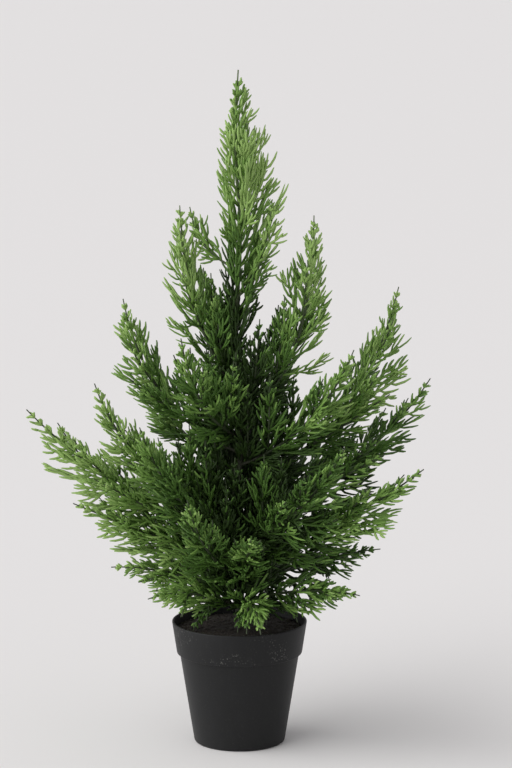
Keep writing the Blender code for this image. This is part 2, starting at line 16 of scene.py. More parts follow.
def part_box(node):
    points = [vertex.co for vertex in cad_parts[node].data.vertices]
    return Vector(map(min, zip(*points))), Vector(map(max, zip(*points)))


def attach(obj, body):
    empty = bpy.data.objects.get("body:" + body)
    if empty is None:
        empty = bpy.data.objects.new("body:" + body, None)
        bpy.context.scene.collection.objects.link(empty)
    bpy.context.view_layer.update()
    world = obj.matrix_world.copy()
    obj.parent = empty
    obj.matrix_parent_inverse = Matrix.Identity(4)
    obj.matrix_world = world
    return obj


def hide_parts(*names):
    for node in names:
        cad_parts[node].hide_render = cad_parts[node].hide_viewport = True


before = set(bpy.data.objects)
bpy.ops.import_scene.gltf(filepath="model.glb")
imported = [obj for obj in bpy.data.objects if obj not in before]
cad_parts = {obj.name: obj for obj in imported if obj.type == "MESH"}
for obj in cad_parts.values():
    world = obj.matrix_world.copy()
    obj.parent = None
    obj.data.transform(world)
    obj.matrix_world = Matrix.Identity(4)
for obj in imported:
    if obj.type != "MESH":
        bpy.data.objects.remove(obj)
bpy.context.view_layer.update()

bl_info = {
    "name": "Potted Thuja",
    "version": (1, 0, 0),
    "blender": (4, 5, 0),
    "location": "3D View > Sidebar > Thuja",
    "description": "Builds an artificial thuja in a plain pot, piece by piece",
    "category": "Add Mesh",
}

POT_LOW, POT_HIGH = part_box("pot")
FILL_LOW, FILL_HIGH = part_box("fill")
TRUNK_LOW, TRUNK_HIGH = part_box("trunk")

# The boughs, as the part's source lays them out: name, height on the trunk, azimuth in degrees
# from +X, reach of the tip, height of the tip, then the share of the reach and of the rise at
# which the bough bends upwards, and side shoots
BOUGHS = (
    ("upper_left", 0.312, 175, 0.052, 0.480, 0.90, 0.35, 0),
    ("upper_right", 0.299, -10, 0.066, 0.473, 0.97, 0.14, 0),
    ("upper_rear", 0.334, 125, 0.056, 0.420, 0.80, 0.30, 0),
    ("mid_left_front", 0.275, -125, 0.086, 0.374, 0.78, 0.25, 0),
    ("mid_rear_right", 0.268, 65, 0.100, 0.378, 0.78, 0.28, 0),
    ("mid_left", 0.261, 170, 0.104, 0.396, 0.80, 0.22, 1),
    ("mid_right_front", 0.250, -30, 0.114, 0.362, 0.70, 0.30, 0),
    ("mid_rear_left", 0.243, 145, 0.110, 0.335, 0.76, 0.30, 0),
    ("mid_right", 0.234, 12, 0.144, 0.405, 0.78, 0.18, 1),
    ("low_rear", 0.214, 90, 0.140, 0.288, 0.70, 0.35, 1),
    ("low_left", 0.205, -170, 0.128, 0.327, 0.75, 0.22, 1),
    ("low_rear_right", 0.197, 48, 0.152, 0.262, 0.65, 0.45, 1),
    ("far_right", 0.190, 8, 0.171, 0.324, 0.70, 0.40, 1),
    ("front_left", 0.184, -140, 0.111, 0.297, 0.72, 0.30, 0),
    ("low_rear_left", 0.178, 132, 0.150, 0.262, 0.65, 0.45, 1),
    ("front_right", 0.177, -50, 0.140, 0.286, 0.66, 0.36, 1),
    ("far_left", 0.171, 178, 0.188, 0.299, 0.62, 0.42, 1),
    ("low_right_front", 0.162, -25, 0.175, 0.261, 0.62, 0.45, 1),
    ("left_second", 0.157, -174, 0.147, 0.219, 0.62, 0.60, 0),
    ("front_left_low", 0.149, -115, 0.104, 0.238, 0.75, 0.35, 0),
    ("front_centre", 0.145, -84, 0.100, 0.205, 0.66, 0.60, 0),
    ("bottom_right", 0.141, 5, 0.126, 0.172, 0.60, 0.90, 0),
    ("bottom_rear_left", 0.137, 128, 0.128, 0.165, 0.60, 0.90, 0),
    ("bottom_left", 0.133, 180, 0.114, 0.158, 0.60, 1.10, 0),
    ("bottom_rear_right", 0.131, 64, 0.128, 0.165, 0.60, 0.90, 0),
    ("bottom_right_front", 0.127, -34, 0.126, 0.149, 0.60, 1.20, 0),
    ("bottom_left_front", 0.122, -150, 0.092, 0.140, 0.60, 1.50, 0),
    ("front_low", 0.120, -79, 0.098, 0.121, 0.70, 36.0, 0),
)

# Trunk and stems, in the source's sizes
TRUNK_FOOT_RADIUS = 0.0035
TRUNK_TIP_RADIUS = 0.0006
TRUNK_FLARE = 0.0018
TRUNK_FLARE_HEIGHT = 0.010
TRUNK_SWAY = 0.0020
TRUNK_SWAY_PITCH = 0.175
TRUNK_SWAY_FROM = 0.236
TRUNK_LEAN = -0.0015
BOUGH_RADIUS = 0.0016
STEM_RADIUS = 0.0013
SHOOT_RADIUS = 0.0011
BUD_RADIUS = 0.0005
BOUGH_SHARE = 0.14
LEADER_FOOT = 0.348
LEADER_HEAD = 0.583
LEADER_BARE = 0.015

# Arms: their length grows with the distance from the tip of the stem
FIRST_BUD = 0.009
ARM_LEAST = 0.0035
ARM_MOST = 0.042
ARM_GROWTH = 0.47
LEADER_ARM_MOST = 0.048
LEADER_ARM_GROWTH = 0.36
LEADER_LOPSIDED = 0.36
LEADER_FOOT_SHARE = 0.50
LEADER_FOOT_FADE = 0.190
LEADER_SHOOT_ARM_MOST = 0.018
FULL_REACH = 0.09
SLIMMER = 4.0
SLIM_LENGTH = 0.130
INNER_ARM_MOST = 0.026
INNER_PITCH = 0.0085
ARM_LEAN_DEG = 47.0
LEADER_LEAN_DEG = 47.0
TIP_LEAN_DEG = 14.0
TUFT_LENGTH = 0.014
TUFT_ARMS = 4
ARM_CURL = 0.34
GOLDEN_ANGLE_DEG = 137.5

# Prongs: the fingers on both sides of an arm
FIRST_PRONG = 0.22
LAST_PRONG = 0.84
PRONG_ANGLE_DEG = 31.0
PRONG_SHARE = 0.80
PRONG_FALL = 0.28
PRONG_MOST = 0.0185
PRONG_LEAST = 0.0030
PRONG_RISE = 0.14
PRONG_STRAY = 0.5
FORKED_FROM = 0.033
FORK_SHARE = 0.55

# The trunk's own arms, between these heights
CORE_FOOT = 0.250
CORE_HEAD = 0.372
CORE_ARM_MOST = 0.032
CORE_LEAN_DEG = 30.0
CORE_LOPSIDED = 0.45

# Twigs: the finer leafy shoots inside a mass. Risers stand up beside the trunk, given as a share of
# the way from the trunk to the stem's foot, and side twigs leave the stem, given as a share of it
RISERS = (0.35, 0.80, 1.25)
RISER_LEAST = 0.034
RISER_MOST = 0.084
SIDE_TWIGS = ((0.26, 0.42), (0.44, 0.36), (0.62, 0.27))
TWIG_RADIUS = 0.0008
TWIG_ARM_MOST = 0.027
AIRY_ABOVE = 0.32
DROOP_BELOW = 0.20
HANGERS = (0.02, 0.16, 0.30, 0.46)
HANGER_LENGTH = 0.040
OPEN_ABOVE = 0.24
OPEN_SHARE = 0.25
SKIRT_BELOW = 0.175

# The leader's own side shoots: height on the trunk, azimuth, reach of the tip, height of the tip
LEADER_SHOOTS = ((0.424, 178, 0.043, 0.479), (0.400, -30, 0.033, 0.487))


# Settings


class PotSettings(bpy.types.PropertyGroup):
    """The turned plastic pot"""

    foot_radius: FloatProperty(
        name="Foot radius", description="Radius of the pot at its foot", default=0.0407, unit="LENGTH"
    )
    band_height: FloatProperty(
        name="Band height", description="Height of the band below the rim", default=0.029, unit="LENGTH"
    )
    band_step: FloatProperty(
        name="Band step", description="How far the band stands out from the body", default=0.0026, unit="LENGTH"
    )
    wall: FloatProperty(name="Wall", description="Thickness of the wall", default=0.0018, unit="LENGTH")
    sides: IntProperty(name="Sides", description="Steps round the pot", default=128, min=16)
    colour: FloatVectorProperty(
        name="Plastic", description="Colour of the pot's plastic", default=(0.0090, 0.0093, 0.0097), subtype="COLOR"
    )


class SoilSettings(bpy.types.PropertyGroup):
    """The loose soil on top of the fill"""

    relief: FloatProperty(
        name="Relief", description="Height of the lumps in the soil", default=0.0022, unit="LENGTH"
    )
    crumbs: IntProperty(name="Crumbs", description="Loose crumbs on the soil", default=650, min=0)
    crumb_size: FloatProperty(
        name="Crumb size", description="Radius of the largest crumb", default=0.0021, unit="LENGTH"
    )
    colour: FloatVectorProperty(
        name="Soil", description="Colour of the soil", default=(0.017, 0.012, 0.008), subtype="COLOR"
    )


class StemSettings(bpy.types.PropertyGroup):
    """The wrapped trunk, the boughs and the fine stems"""

    ring_pitch: FloatProperty(
        name="Ring pitch", description="Distance between the rings of a limb", default=0.0012, unit="LENGTH"
    )
    wrap_pitch: FloatProperty(
        name="Wrap pitch", description="Rise of the wrapping for each turn", default=0.0065, unit="LENGTH"
    )
    wrap_relief: FloatProperty(
        name="Wrap relief", description="Height of the wrapping's edge", default=0.00022, unit="LENGTH"
    )
    colour: FloatVectorProperty(
        name="Stem", description="Colour of the wrapped stems", default=(0.036, 0.040, 0.020), subtype="COLOR"
    )
    fresh: FloatVectorProperty(
        name="Fine stem", description="Colour of the leader and the fine stems", default=(0.125, 0.185, 0.070), subtype="COLOR"
    )


class FoliageSettings(bpy.types.PropertyGroup):
    """The sprays of plastic foliage"""

    arms: IntProperty(name="Arms", description="Arms in each whorl", default=4, min=3)
    whorl_pitch: FloatProperty(
        name="Whorl pitch", description="Distance between whorls on a bough", default=0.0158, unit="LENGTH"
    )
    leader_pitch: FloatProperty(
        name="Leader pitch", description="Distance between whorls on the leader", default=0.0118, unit="LENGTH"
    )
    prong_pitch: FloatProperty(
        name="Prong pitch", description="Distance between prongs along an arm", default=0.0084, unit="LENGTH"
    )
    prong_radius: FloatProperty(
        name="Prong radius", description="Half the width of a prong", default=0.00114, unit="LENGTH"
    )
    deep: FloatVectorProperty(
        name="Deep green", description="Colour of the innermost sprays", default=(0.028, 0.058, 0.011), subtype="COLOR"
    )
    mid: FloatVectorProperty(
        name="Mid green", description="Colour of most sprays", default=(0.072, 0.152, 0.026), subtype="COLOR"
    )
    fresh: FloatVectorProperty(
        name="Fresh green", description="Colour of the outer sprays", default=(0.172, 0.304, 0.066), subtype="COLOR"
    )
    pale: FloatVectorProperty(
        name="Pale green", description="Colour of the youngest tips", default=(0.295, 0.450, 0.130), subtype="COLOR"
    )


class StageSettings(bpy.types.PropertyGroup):
    """Floor, light and camera"""

    floor_size: FloatProperty(name="Floor size", description="Side of the floor", default=200.0, unit="LENGTH")
    floor_colour: FloatVectorProperty(
        name="Floor", description="Colour of the floor", default=(0.80, 0.785, 0.775), subtype="COLOR"
    )
    sky_colour: FloatVectorProperty(
        name="Room light", description="Colour of the light from all round", default=(0.500, 0.494, 0.507), subtype="COLOR"
    )
    sun_strength: FloatProperty(name="Key light", description="Strength of the soft key light", default=2.65)
    sun_softness: FloatProperty(
        name="Key softness", description="Angle the key light fills", default=math.radians(80), subtype="ANGLE"
    )
    camera_back: FloatProperty(
        name="Camera distance", description="Distance in front of the pot", default=2.60, unit="LENGTH"
    )
    camera_height: FloatProperty(
        name="Camera height", description="Height above the floor", default=0.758, unit="LENGTH"
    )
    camera_side: FloatProperty(
        name="Camera side", description="Distance to the right of the pot", default=0.0147, unit="LENGTH"
    )
    camera_pitch: FloatProperty(
        name="Camera pitch", description="Angle below the horizon", default=math.radians(9.5), subtype="ANGLE"
    )
    lens: FloatProperty(name="Lens", description="Focal length in millimetres", default=140.6)


# Materials


class Wire:
    """A shader socket that plain arithmetic works on."""

    def __init__(self, tree, socket):
        self.tree = tree
        self.socket = socket

    def math(self, operation, *values):
        return self.tree.node("ShaderNodeMath", {"operation": operation}, dict(enumerate(values)))

    def __add__(self, other):
        return self.math("ADD", self, other)

    def __radd__(self, other):
        return self.math("ADD", other, self)

    def __sub__(self, other):
        return self.math("SUBTRACT", self, other)

    def __rsub__(self, other):
        return self.math("SUBTRACT", other, self)

    def __mul__(self, other):
        return self.math("MULTIPLY", self, other)

    def __rmul__(self, other):
        return self.math("MULTIPLY", other, self)

    def __truediv__(self, other):
        return self.math("DIVIDE", self, other)

    def __pow__(self, other):
        return self.math("POWER", self, other)

    def above(self, low, high):
        """0 below low, 1 above high, and a smooth step between."""
        step = {"interpolation_type": "SMOOTHSTEP"}
        return self.tree.node("ShaderNodeMapRange", step, {"Value": self, "From Min": low, "From Max": high})


class Finish:
    """One material, with its Principled shader and a way to add any node."""

    def __init__(self, name, roughness):
        self.material = bpy.data.materials.new(name)
        self.material.use_nodes = True
        self.nodes = self.material.node_tree.nodes
        self.links = self.material.node_tree.links
        self.shader = self.nodes["Principled BSDF"]
        self.shader.inputs["Roughness"].default_value = roughness

    def node(self, kind, settings=None, inputs=None, output=0):
        made = self.nodes.new(kind)
        for key, value in (settings or {}).items():
            setattr(made, key, value)
        for key, value in (inputs or {}).items():
            self.put(made.inputs[key], value)
        return Wire(self, made.outputs[output])

    def put(self, socket, value):
        if isinstance(value, Wire):
            self.links.new(value.socket, socket)
        elif hasattr(value, "__len__") and len(value) == 3 and socket.type == "RGBA":
            socket.default_value = (*value, 1.0)
        else:
            socket.default_value = value

    def place(self, stretch=(1, 1, 1)):
        """Object coordinates, stretched."""
        spot = self.node("ShaderNodeTexCoord", output="Object")
        return self.node("ShaderNodeMapping", {}, {"Vector": spot, "Scale": stretch})

    def height(self):
        """The object's own Z coordinate."""
        return self.node("ShaderNodeSeparateXYZ", {}, {"Vector": self.place()}, "Z")

    def noise(self, scale, detail=3.0, stretch=(1, 1, 1)):
        inputs = {"Vector": self.place(stretch), "Scale": scale, "Detail": detail}
        return self.node("ShaderNodeTexNoise", {}, inputs)

    def mix(self, share, low, high):
        """A colour between low and high."""
        made = self.nodes.new("ShaderNodeMix")
        made.data_type = "RGBA"
        self.put(made.inputs["Factor"], share)
        self.put(made.inputs["A"], low)
        self.put(made.inputs["B"], high)
        return Wire(self, made.outputs["Result"])

    def set(self, **values):
        for key, value in values.items():
            self.put(self.shader.inputs[key.replace("_", " ")], value)

    def bump(self, height, distance, strength=1.0):
        inputs = {"Height": height, "Distance": distance, "Strength": strength}
        self.put(self.shader.inputs["Normal"], self.node("ShaderNodeBump", {}, inputs))


def shaded(colour, share):
    return tuple(channel * share for channel in colour)


def pot_plastic(colour, step):
    """Satin black plastic with a fine moulded grain. The band is scuffed and dusty in patches."""
    finish = Finish("pot_plastic", 0.5)
    cloud = finish.noise(28.0, 4.0)
    band = finish.height().above(step - 0.001, step + 0.003)
    patch = finish.noise(26.0, 2.0).above(0.46, 0.58) * band
    scuff = finish.noise(210.0, 6.0, (1, 1, 0.3)).above(0.50, 0.66) * (0.2 + patch)
    dust = finish.noise(620.0, 3.0).above(0.60, 0.66) * (0.06 + patch)
    grain = finish.noise(2600.0, 2.0)
    base = finish.mix(cloud, shaded(colour, 0.82), shaded(colour, 1.22))
    worn = finish.mix(scuff * 0.5, base, shaded(colour, 2.6))
    finish.set(Base_Color=finish.mix(dust * 0.55, worn, (0.15, 0.15, 0.14)))
    finish.set(Roughness=0.45 + cloud * 0.14 + scuff * 0.16 + dust * 0.2, Specular_IOR_Level=0.25)
    finish.bump(grain + scuff * 0.4, 0.00006, 0.6)
    return finish.material


def soil_finish(name, colour):
    """Dark crumbly peat with paler fibres."""
    finish = Finish(name, 0.95)
    coarse = finish.noise(160.0, 6.0)
    fibre = finish.noise(420.0, 3.0, (1, 0.3, 1)).above(0.60, 0.72)
    base = finish.mix(coarse, shaded(colour, 0.35), shaded(colour, 1.7))
    finish.set(Base_Color=finish.mix(fibre * 0.6, base, shaded(colour, 3.2)))
    finish.set(Roughness=0.85 + coarse * 0.12)
    finish.bump(coarse + fibre * 0.5, 0.0008)
    return finish.material


def stem_finish(name, colour, fresh):
    """Wrapping tape, uneven in colour and slightly glossy, which turns green up the leader."""
    finish = Finish(name, 0.6)
    patch = finish.noise(90.0, 4.0, (1, 1, 0.35))
    fine = finish.noise(1100.0, 3.0, (1, 1, 0.25))
    # Darker below, green up the leader; on the fine stems the darker low colour is painted shade.
    colour_by_height = finish.mix(finish.height().above(0.34, 0.48), colour, fresh)
    finish.set(Base_Color=finish.mix(patch * 0.6, colour_by_height, shaded(colour, 0.4)))
    finish.set(Roughness=0.52 + fine * 0.24)
    finish.bump(fine, 0.00008)
    return finish.material


def leaf_finish(name, colour, roughness):
    """Soft moulded foliage plastic in one plain shade: the shades are dealt out by spray."""
    finish = Finish(name, roughness)
    finish.set(Base_Color=colour, Specular_IOR_Level=0.3)
    return finish.material


def floor_finish(colour):
    finish = Finish("studio_floor", 0.7)
    finish.set(Base_Color=colour)
    return finish.material


# Modelling helpers


def deselect_all():
    if bpy.context.object is not None and bpy.context.object.mode != "OBJECT":
        bpy.ops.object.mode_set(mode="OBJECT")
    bpy.ops.object.select_all(action="DESELECT")


def turned_shell(name, profile, sides):
    """Draws a profile of (radius, height) as a chain of edges and spins it round Z into a closed shell."""
    deselect_all()
    radius, height = profile[0]
    bpy.ops.mesh.primitive_plane_add(size=0.001, location=(0, 0, 0))
    shell = bpy.context.object
    shell.name = name
    bpy.ops.object.mode_set(mode="EDIT")
    bpy.ops.mesh.merge(type="CENTER")
    bpy.ops.transform.translate(value=(radius, 0, height))
    for (r0, z0), (r1, z1) in zip(profile, profile[1:]):
        bpy.ops.mesh.extrude_region_move(TRANSFORM_OT_translate={"value": (r1 - r0, 0, z1 - z0)})
    bpy.ops.mesh.select_all(action="SELECT")
    bpy.ops.mesh.spin(steps=sides, angle=math.tau, center=(0, 0, 0), axis=(0, 0, 1))
    bpy.ops.mesh.select_all(action="SELECT")
    bpy.ops.mesh.remove_doubles(threshold=0.00001)
    bpy.ops.mesh.normals_make_consistent(inside=False)
    bpy.ops.object.mode_set(mode="OBJECT")
    return shell


def arc(centre, radius, start_deg, end_deg, steps):
    """Points of (radius, height) round part of a circle."""
    turns = [math.radians(start_deg + (end_deg - start_deg) * i / steps) for i in range(steps + 1)]
    return [(centre[0] + radius * math.cos(t), centre[1] + radius * math.sin(t)) for t in turns]


def finish_piece(piece, material, nodes=()):
    """Gives a piece its material and its place on the frame."""
    piece.data.materials.clear()
    piece.data.materials.append(material)
    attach(piece, "root")
    if nodes:
        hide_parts(*nodes)


def limb_mesh(name, lines, bevel_resolution):
    """Tapering limbs: each line is a list of (point, radius), and together they become one mesh."""
    curve = bpy.data.curves.new(name, "CURVE")
    curve.dimensions = "3D"
    curve.bevel_depth = 1.0
    curve.bevel_resolution = bevel_resolution
    curve.use_fill_caps = True
    for line in lines:
        spline = curve.splines.new("POLY")
        spline.points.add(len(line) - 1)
        for spot, (point, radius) in zip(spline.points, line):
            spot.co = (*point, 1.0)
            spot.radius = radius
    limb = bpy.data.objects.new(name, curve)
    bpy.context.collection.objects.link(limb)
    deselect_all()
    limb.select_set(True)
    bpy.context.view_layer.objects.active = limb
    bpy.ops.object.convert(target="MESH")
    bpy.ops.object.mode_set(mode="EDIT")
    bpy.ops.mesh.select_all(action="SELECT")
    bpy.ops.mesh.normals_make_consistent(inside=False)
    bpy.ops.object.mode_set(mode="OBJECT")
    bpy.ops.object.shade_smooth()
    return bpy.context.object


# The plant's lines


def trunk_foot():
    return TRUNK_LOW.z


def trunk_centre(height):
    """Centre of the trunk, which sways a little and leans at its tip."""
    above = height - FILL_HIGH.z
    settle = min(1.0, max(0.0, above / 0.08))
    sway = TRUNK_SWAY * settle * math.sin(math.tau * (height - TRUNK_SWAY_FROM) / TRUNK_SWAY_PITCH)
    lean = TRUNK_LEAN * above / (TRUNK_HIGH.z - FILL_HIGH.z)
    return Vector((sway + lean, 0.4 * sway, height))


def trunk_radius(height):
    above = height - FILL_HIGH.z
    share = above / (TRUNK_HIGH.z - FILL_HIGH.z)
    flare = TRUNK_FLARE * math.exp(-above / TRUNK_FLARE_HEIGHT)
    return TRUNK_FOOT_RADIUS + (TRUNK_TIP_RADIUS - TRUNK_FOOT_RADIUS) * share + flare


class Branch:
    """The line of one bough and the stem that grows on from it, from the trunk's centre to the tip."""

    def __init__(self, row):
        self.name, foot, azimuth, reach, tip, bend_out, bend_up, self.shoots = row
        turn = math.radians(azimuth)
        out = Vector((math.cos(turn), math.sin(turn), 0.0))
        self.start = trunk_centre(foot)
        self.end = Vector((reach * out.x, reach * out.y, tip))
        self.bend = Vector((bend_out * reach * out.x, bend_out * reach * out.y, foot + bend_up * (tip - foot)))
        self.trunk_radius = trunk_radius(foot)
        steps = 60
        self.table = [0.0]
        for i in range(steps):
            self.table.append(self.table[-1] + (self.at((i + 1) / steps) - self.at(i / steps)).length)
        self.length = self.table[-1]

    def at(self, t):
        return (1 - t) ** 2 * self.start + 2 * t * (1 - t) * self.bend + t * t * self.end

    def along(self, distance):
        """Point at a distance from the trunk's centre."""
        steps = len(self.table) - 1
        i = 0
        while i < steps - 1 and self.table[i + 1] < distance:
            i += 1
        share = (distance - self.table[i]) / (self.table[i + 1] - self.table[i])
        return self.at((i + share) / steps)

    def mass_start(self):
        return self.trunk_radius + max(0.014, BOUGH_SHARE * self.length)

    def fullness(self):
        """How long the arms of the mass are: the further it reaches, the slimmer it is."""
        reach = math.hypot(self.end.x, self.end.y)
        return 1.0 - SLIMMER * max(0.0, reach - FULL_REACH)


class Stem:
    """One leafy line: points from its foot to its tip."""

    def __init__(self, points, thickest, phase, foot_share=1.0):
        self.points = points
        self.phase = phase
        self.foot_share = foot_share
        self.thickest = thickest
        self.reach = [0.0]
        for a, b in zip(points, points[1:]):
            self.reach.append(self.reach[-1] + (b - a).length)
        self.length = self.reach[-1]

    def at(self, distance):
        """Point and direction at a distance from the foot."""
        i = 0
        while i < len(self.reach) - 2 and self.reach[i + 1] < distance:
            i += 1
        share = (distance - self.reach[i]) / (self.reach[i + 1] - self.reach[i])
        before = self.points[max(i - 1, 0)]
        after = self.points[min(i + 2, len(self.points) - 1)]
        return self.points[i].lerp(self.points[i + 1], share), (after - before).normalized()


def stem_radius(left, thickest):
    """Radius of a stem where this much of it is left before its tip."""
    return min(thickest, BUD_RADIUS + 0.010 * left)


def stems_of(branch, rng):
    """The stem of a mass and its side shoots, as the part's source grows them but finer."""
    foot = branch.mass_start()
    rings = 24
    points = [branch.along(foot + (branch.length - foot) * i / (rings - 1)) for i in range(rings)]
    main = Stem(points, STEM_RADIUS, rng.uniform(0, 360))
    stems = [main]
    for k in range(branch.shoots):
        start, ahead = main.at(main.length * (0.16 + 0.22 * k))
        level = ahead.cross(Vector((0, 0, 1))).normalized() * (1 if (k + len(branch.name)) % 2 else -1)
        away = (ahead + 0.75 * level + Vector((0, 0, 0.12))).normalized()
        length = 0.46 * main.length * rng.uniform(0.9, 1.1)
        steps = [i / 10 for i in range(11)]
        line = [start + length * u * (away + 0.25 * u * (ahead - away)) for u in steps]
        stems.append(Stem(line, SHOOT_RADIUS, rng.uniform(0, 360)))
    return stems


def inner_stem(branch):
    """The line of the bough itself, which carries short arms up to the trunk."""
    foot, last = 1.5 * branch.trunk_radius, branch.mass_start()
    return Stem([branch.along(foot + (last - foot) * i / 6) for i in range(7)], TWIG_RADIUS, 40.0)


def twigs_of(branch, main, rng):
    """Finer shoots inside a mass: risers beside the trunk, then side twigs along the stem."""
    up = Vector((0, 0, 1))
    twigs = []
    side = rng.choice((-1, 1))
    room = 1.0 - OPEN_SHARE * max(0.0, branch.end.x / branch.length) if branch.start.z > OPEN_ABOVE else 1.0
    for share in RISERS:
        start = branch.along(share * branch.mass_start())
        ahead = (branch.along(branch.mass_start()) - branch.start).normalized()
        level = side * ahead.cross(up).normalized()
        away = (0.30 * ahead + up + rng.uniform(0.1, 0.5) * level).normalized()
        length = room * min(RISER_MOST, max(RISER_LEAST, 0.55 * branch.length)) * rng.uniform(0.85, 1.1)
        twigs.append(shoot(start, away, up, length, rng))
        side = -side
    if branch.end.z < SKIRT_BELOW:
        for share in HANGERS:
            start, ahead = main.at(main.length * share)
            level = side * ahead.cross(up).normalized()
            away = (0.8 * ahead + rng.uniform(0.2, 0.9) * level - 0.5 * up).normalized()
            length = HANGER_LENGTH * (1.0 - share) * rng.uniform(0.8, 1.2)
            twigs.append(shoot(start, away, -1.4 * up, length, rng))
            side = -side
    if main.length < 0.09:
        return twigs
    bend = up if branch.end.z > DROOP_BELOW else -0.6 * up
    for share, size in SIDE_TWIGS:
        start, ahead = main.at(main.length * share)
        level = side * ahead.cross(up).normalized()
        away = (ahead + 0.75 * level + rng.uniform(0.0, 0.4) * bend).normalized()
        twigs.append(shoot(start, away, (ahead + bend).normalized(), size * main.length, rng))
        side = -side
    return twigs


def shoot(start, away, finish, length, rng):
    """A shoot that leaves in one direction and turns part of the way to another."""
    line = [start + length * u * (away + 0.35 * u * (finish - away)) for u in (i / 10 for i in range(11))]
    return Stem(line, TWIG_RADIUS, rng.uniform(0, 360))


def leader_shoots():
    """The two small plumes low on the leader."""
    rng = random.Random(150)
    shoots = []
    for foot, azimuth, reach, tip in LEADER_SHOOTS:
        turn = math.radians(azimuth)
        start = trunk_centre(foot)
        end = Vector((reach * math.cos(turn), reach * math.sin(turn), tip))
        bend = Vector((0.85 * end.x, 0.85 * end.y, foot + 0.25 * (tip - foot)))
        steps = [i / 12 for i in range(13)]
        line = [(1 - t) ** 2 * start + 2 * t * (1 - t) * bend + t * t * end for t in steps]
        shoots.append(Stem(line, SHOOT_RADIUS, rng.uniform(0, 360)))
    return shoots


def leader_stem():
    """The line of the trunk under the leader's whorls."""
    rings = 24
    heights = [LEADER_FOOT + (LEADER_HEAD - LEADER_FOOT) * i / (rings - 1) for i in range(rings)]
    return Stem([trunk_centre(h) for h in heights], STEM_RADIUS, 20.0, LEADER_FOOT_SHARE)


def core_stem():
    """The part of the trunk below the leader, which carries steep short arms."""
    heights = [CORE_FOOT + (CORE_HEAD - CORE_FOOT) * i / 8 for i in range(9)]
    return Stem([trunk_centre(h) for h in heights], TWIG_RADIUS, 75.0)


# Sprays


class Strands:
    """Slim curved strands, each with a start, a bend, an end, a flat side, a radius and a shade."""

    def __init__(self):
        self.lines = []
        self.radii = []
        self.shades = []

    def add(self, start, bend, end, flat, radius, shade):
        self.lines.append((*start, *bend, *end, *flat))
        self.radii.append(radius)
        self.shades.append(shade)

    def extend(self, other):
        self.lines += other.lines
        self.radii += other.radii
        self.shades += other.shades

    def rings(self, steps, profile, sides, flatness):
        """Corner positions of every strand: rings of sides corners, then the tip."""
        lines = np.array(self.lines).reshape(-1, 4, 1, 3)
        start, bend, end, flat = (lines[:, i] for i in range(4))
        t = np.array(steps).reshape(1, -1, 1)
        centre = (1 - t) ** 2 * start + 2 * t * (1 - t) * bend + t * t * end
        ahead = (1 - t) * (bend - start) + t * (end - bend)
        ahead /= np.linalg.norm(ahead, axis=2, keepdims=True) + 1e-12
        side = np.cross(ahead, flat)
        side /= np.linalg.norm(side, axis=2, keepdims=True) + 1e-12
        up = np.cross(ahead, side)
        radius = np.array(self.radii).reshape(-1, 1, 1, 1) * np.array(profile).reshape(1, -1, 1, 1)
        turn = np.arange(sides) * math.tau / sides
        round_side = np.cos(turn).reshape(1, 1, -1, 1) * side[:, :, None]
        round_up = flatness * np.sin(turn).reshape(1, 1, -1, 1) * up[:, :, None]
        rings = centre[:, :, None] + radius * (round_side + round_up)
        return np.concatenate((rings.reshape(len(lines), -1, 3), end), axis=1)


def strand_faces(rings, sides):
    """Corner numbers of one strand's faces: its root cap, its quads and the triangles of its tip."""
    faces = [tuple(reversed(range(sides)))]
    for i in range(rings - 1):
        for k in range(sides):
            a, b = i * sides + k, i * sides + (k + 1) % sides
            faces.append((a, b, b + sides, a + sides))
    last = (rings - 1) * sides
    faces += [(last + k, last + (k + 1) % sides, rings * sides) for k in range(sides)]
    return faces


def strands_mesh(name, groups, materials):
    """One mesh from groups of strands, each given as (strands, steps, profile, sides, flatness)."""
    corners, loops, counts, shades, first = [], [], [], [], 0
    for strands, steps, profile, sides, flatness in groups:
        if not strands.lines:
            continue
        points = strands.rings(steps, profile, sides, flatness)
        faces = strand_faces(len(steps), sides)
        order = np.array([corner for face in faces for corner in face])
        number, size = points.shape[:2]
        starts = first + np.arange(number).reshape(-1, 1) * size
        corners.append(points.reshape(-1, 3))
        loops.append((starts + order).ravel())
        counts.append(np.tile([len(face) for face in faces], number))
        shades.append(np.repeat(strands.shades, len(faces)))
        first += number * size
    corners, loops = np.concatenate(corners), np.concatenate(loops)
    counts, shades = np.concatenate(counts), np.concatenate(shades)
    mesh = bpy.data.meshes.new(name)
    mesh.vertices.add(len(corners))
    mesh.vertices.foreach_set("co", corners.ravel().astype(np.float32))
    mesh.loops.add(len(loops))
    mesh.loops.foreach_set("vertex_index", loops.astype(np.int32))
    mesh.polygons.add(len(counts))
    mesh.polygons.foreach_set("loop_start", (np.cumsum(counts) - counts).astype(np.int32))
    for material in materials:
        mesh.materials.append(material)
    mesh.polygons.foreach_set("material_index", shades.astype(np.int32))
    mesh.update(calc_edges=True)
    mesh.validate()
    mesh.shade_smooth()
    piece = bpy.data.objects.new(name, mesh)
    bpy.context.collection.objects.link(piece)
    return piece


PRONG_STEPS = (0.0, 0.35, 0.75, 0.95)
PRONG_PROFILE = (0.85, 1.05, 0.92, 0.55)
SPINE_STEPS = (0.0, 0.3, 0.6, 0.85, 0.97)
SPINE_PROFILE = (1.0, 1.05, 1.0, 0.85, 0.5)
DEEP, MID, FRESH, PALE = range(4)
# From this height up the tips are painted paler still, rising to full over the next span.
PALER_FROM = 0.38
PALER_RISE = 0.14
STEM_CONTRAST = 0.16
# The left of the crown, where the key light stands, is painted paler: painted light.
PAINTED_LIGHT_SIDE = Vector((-1.3, 0.0, 0.0))


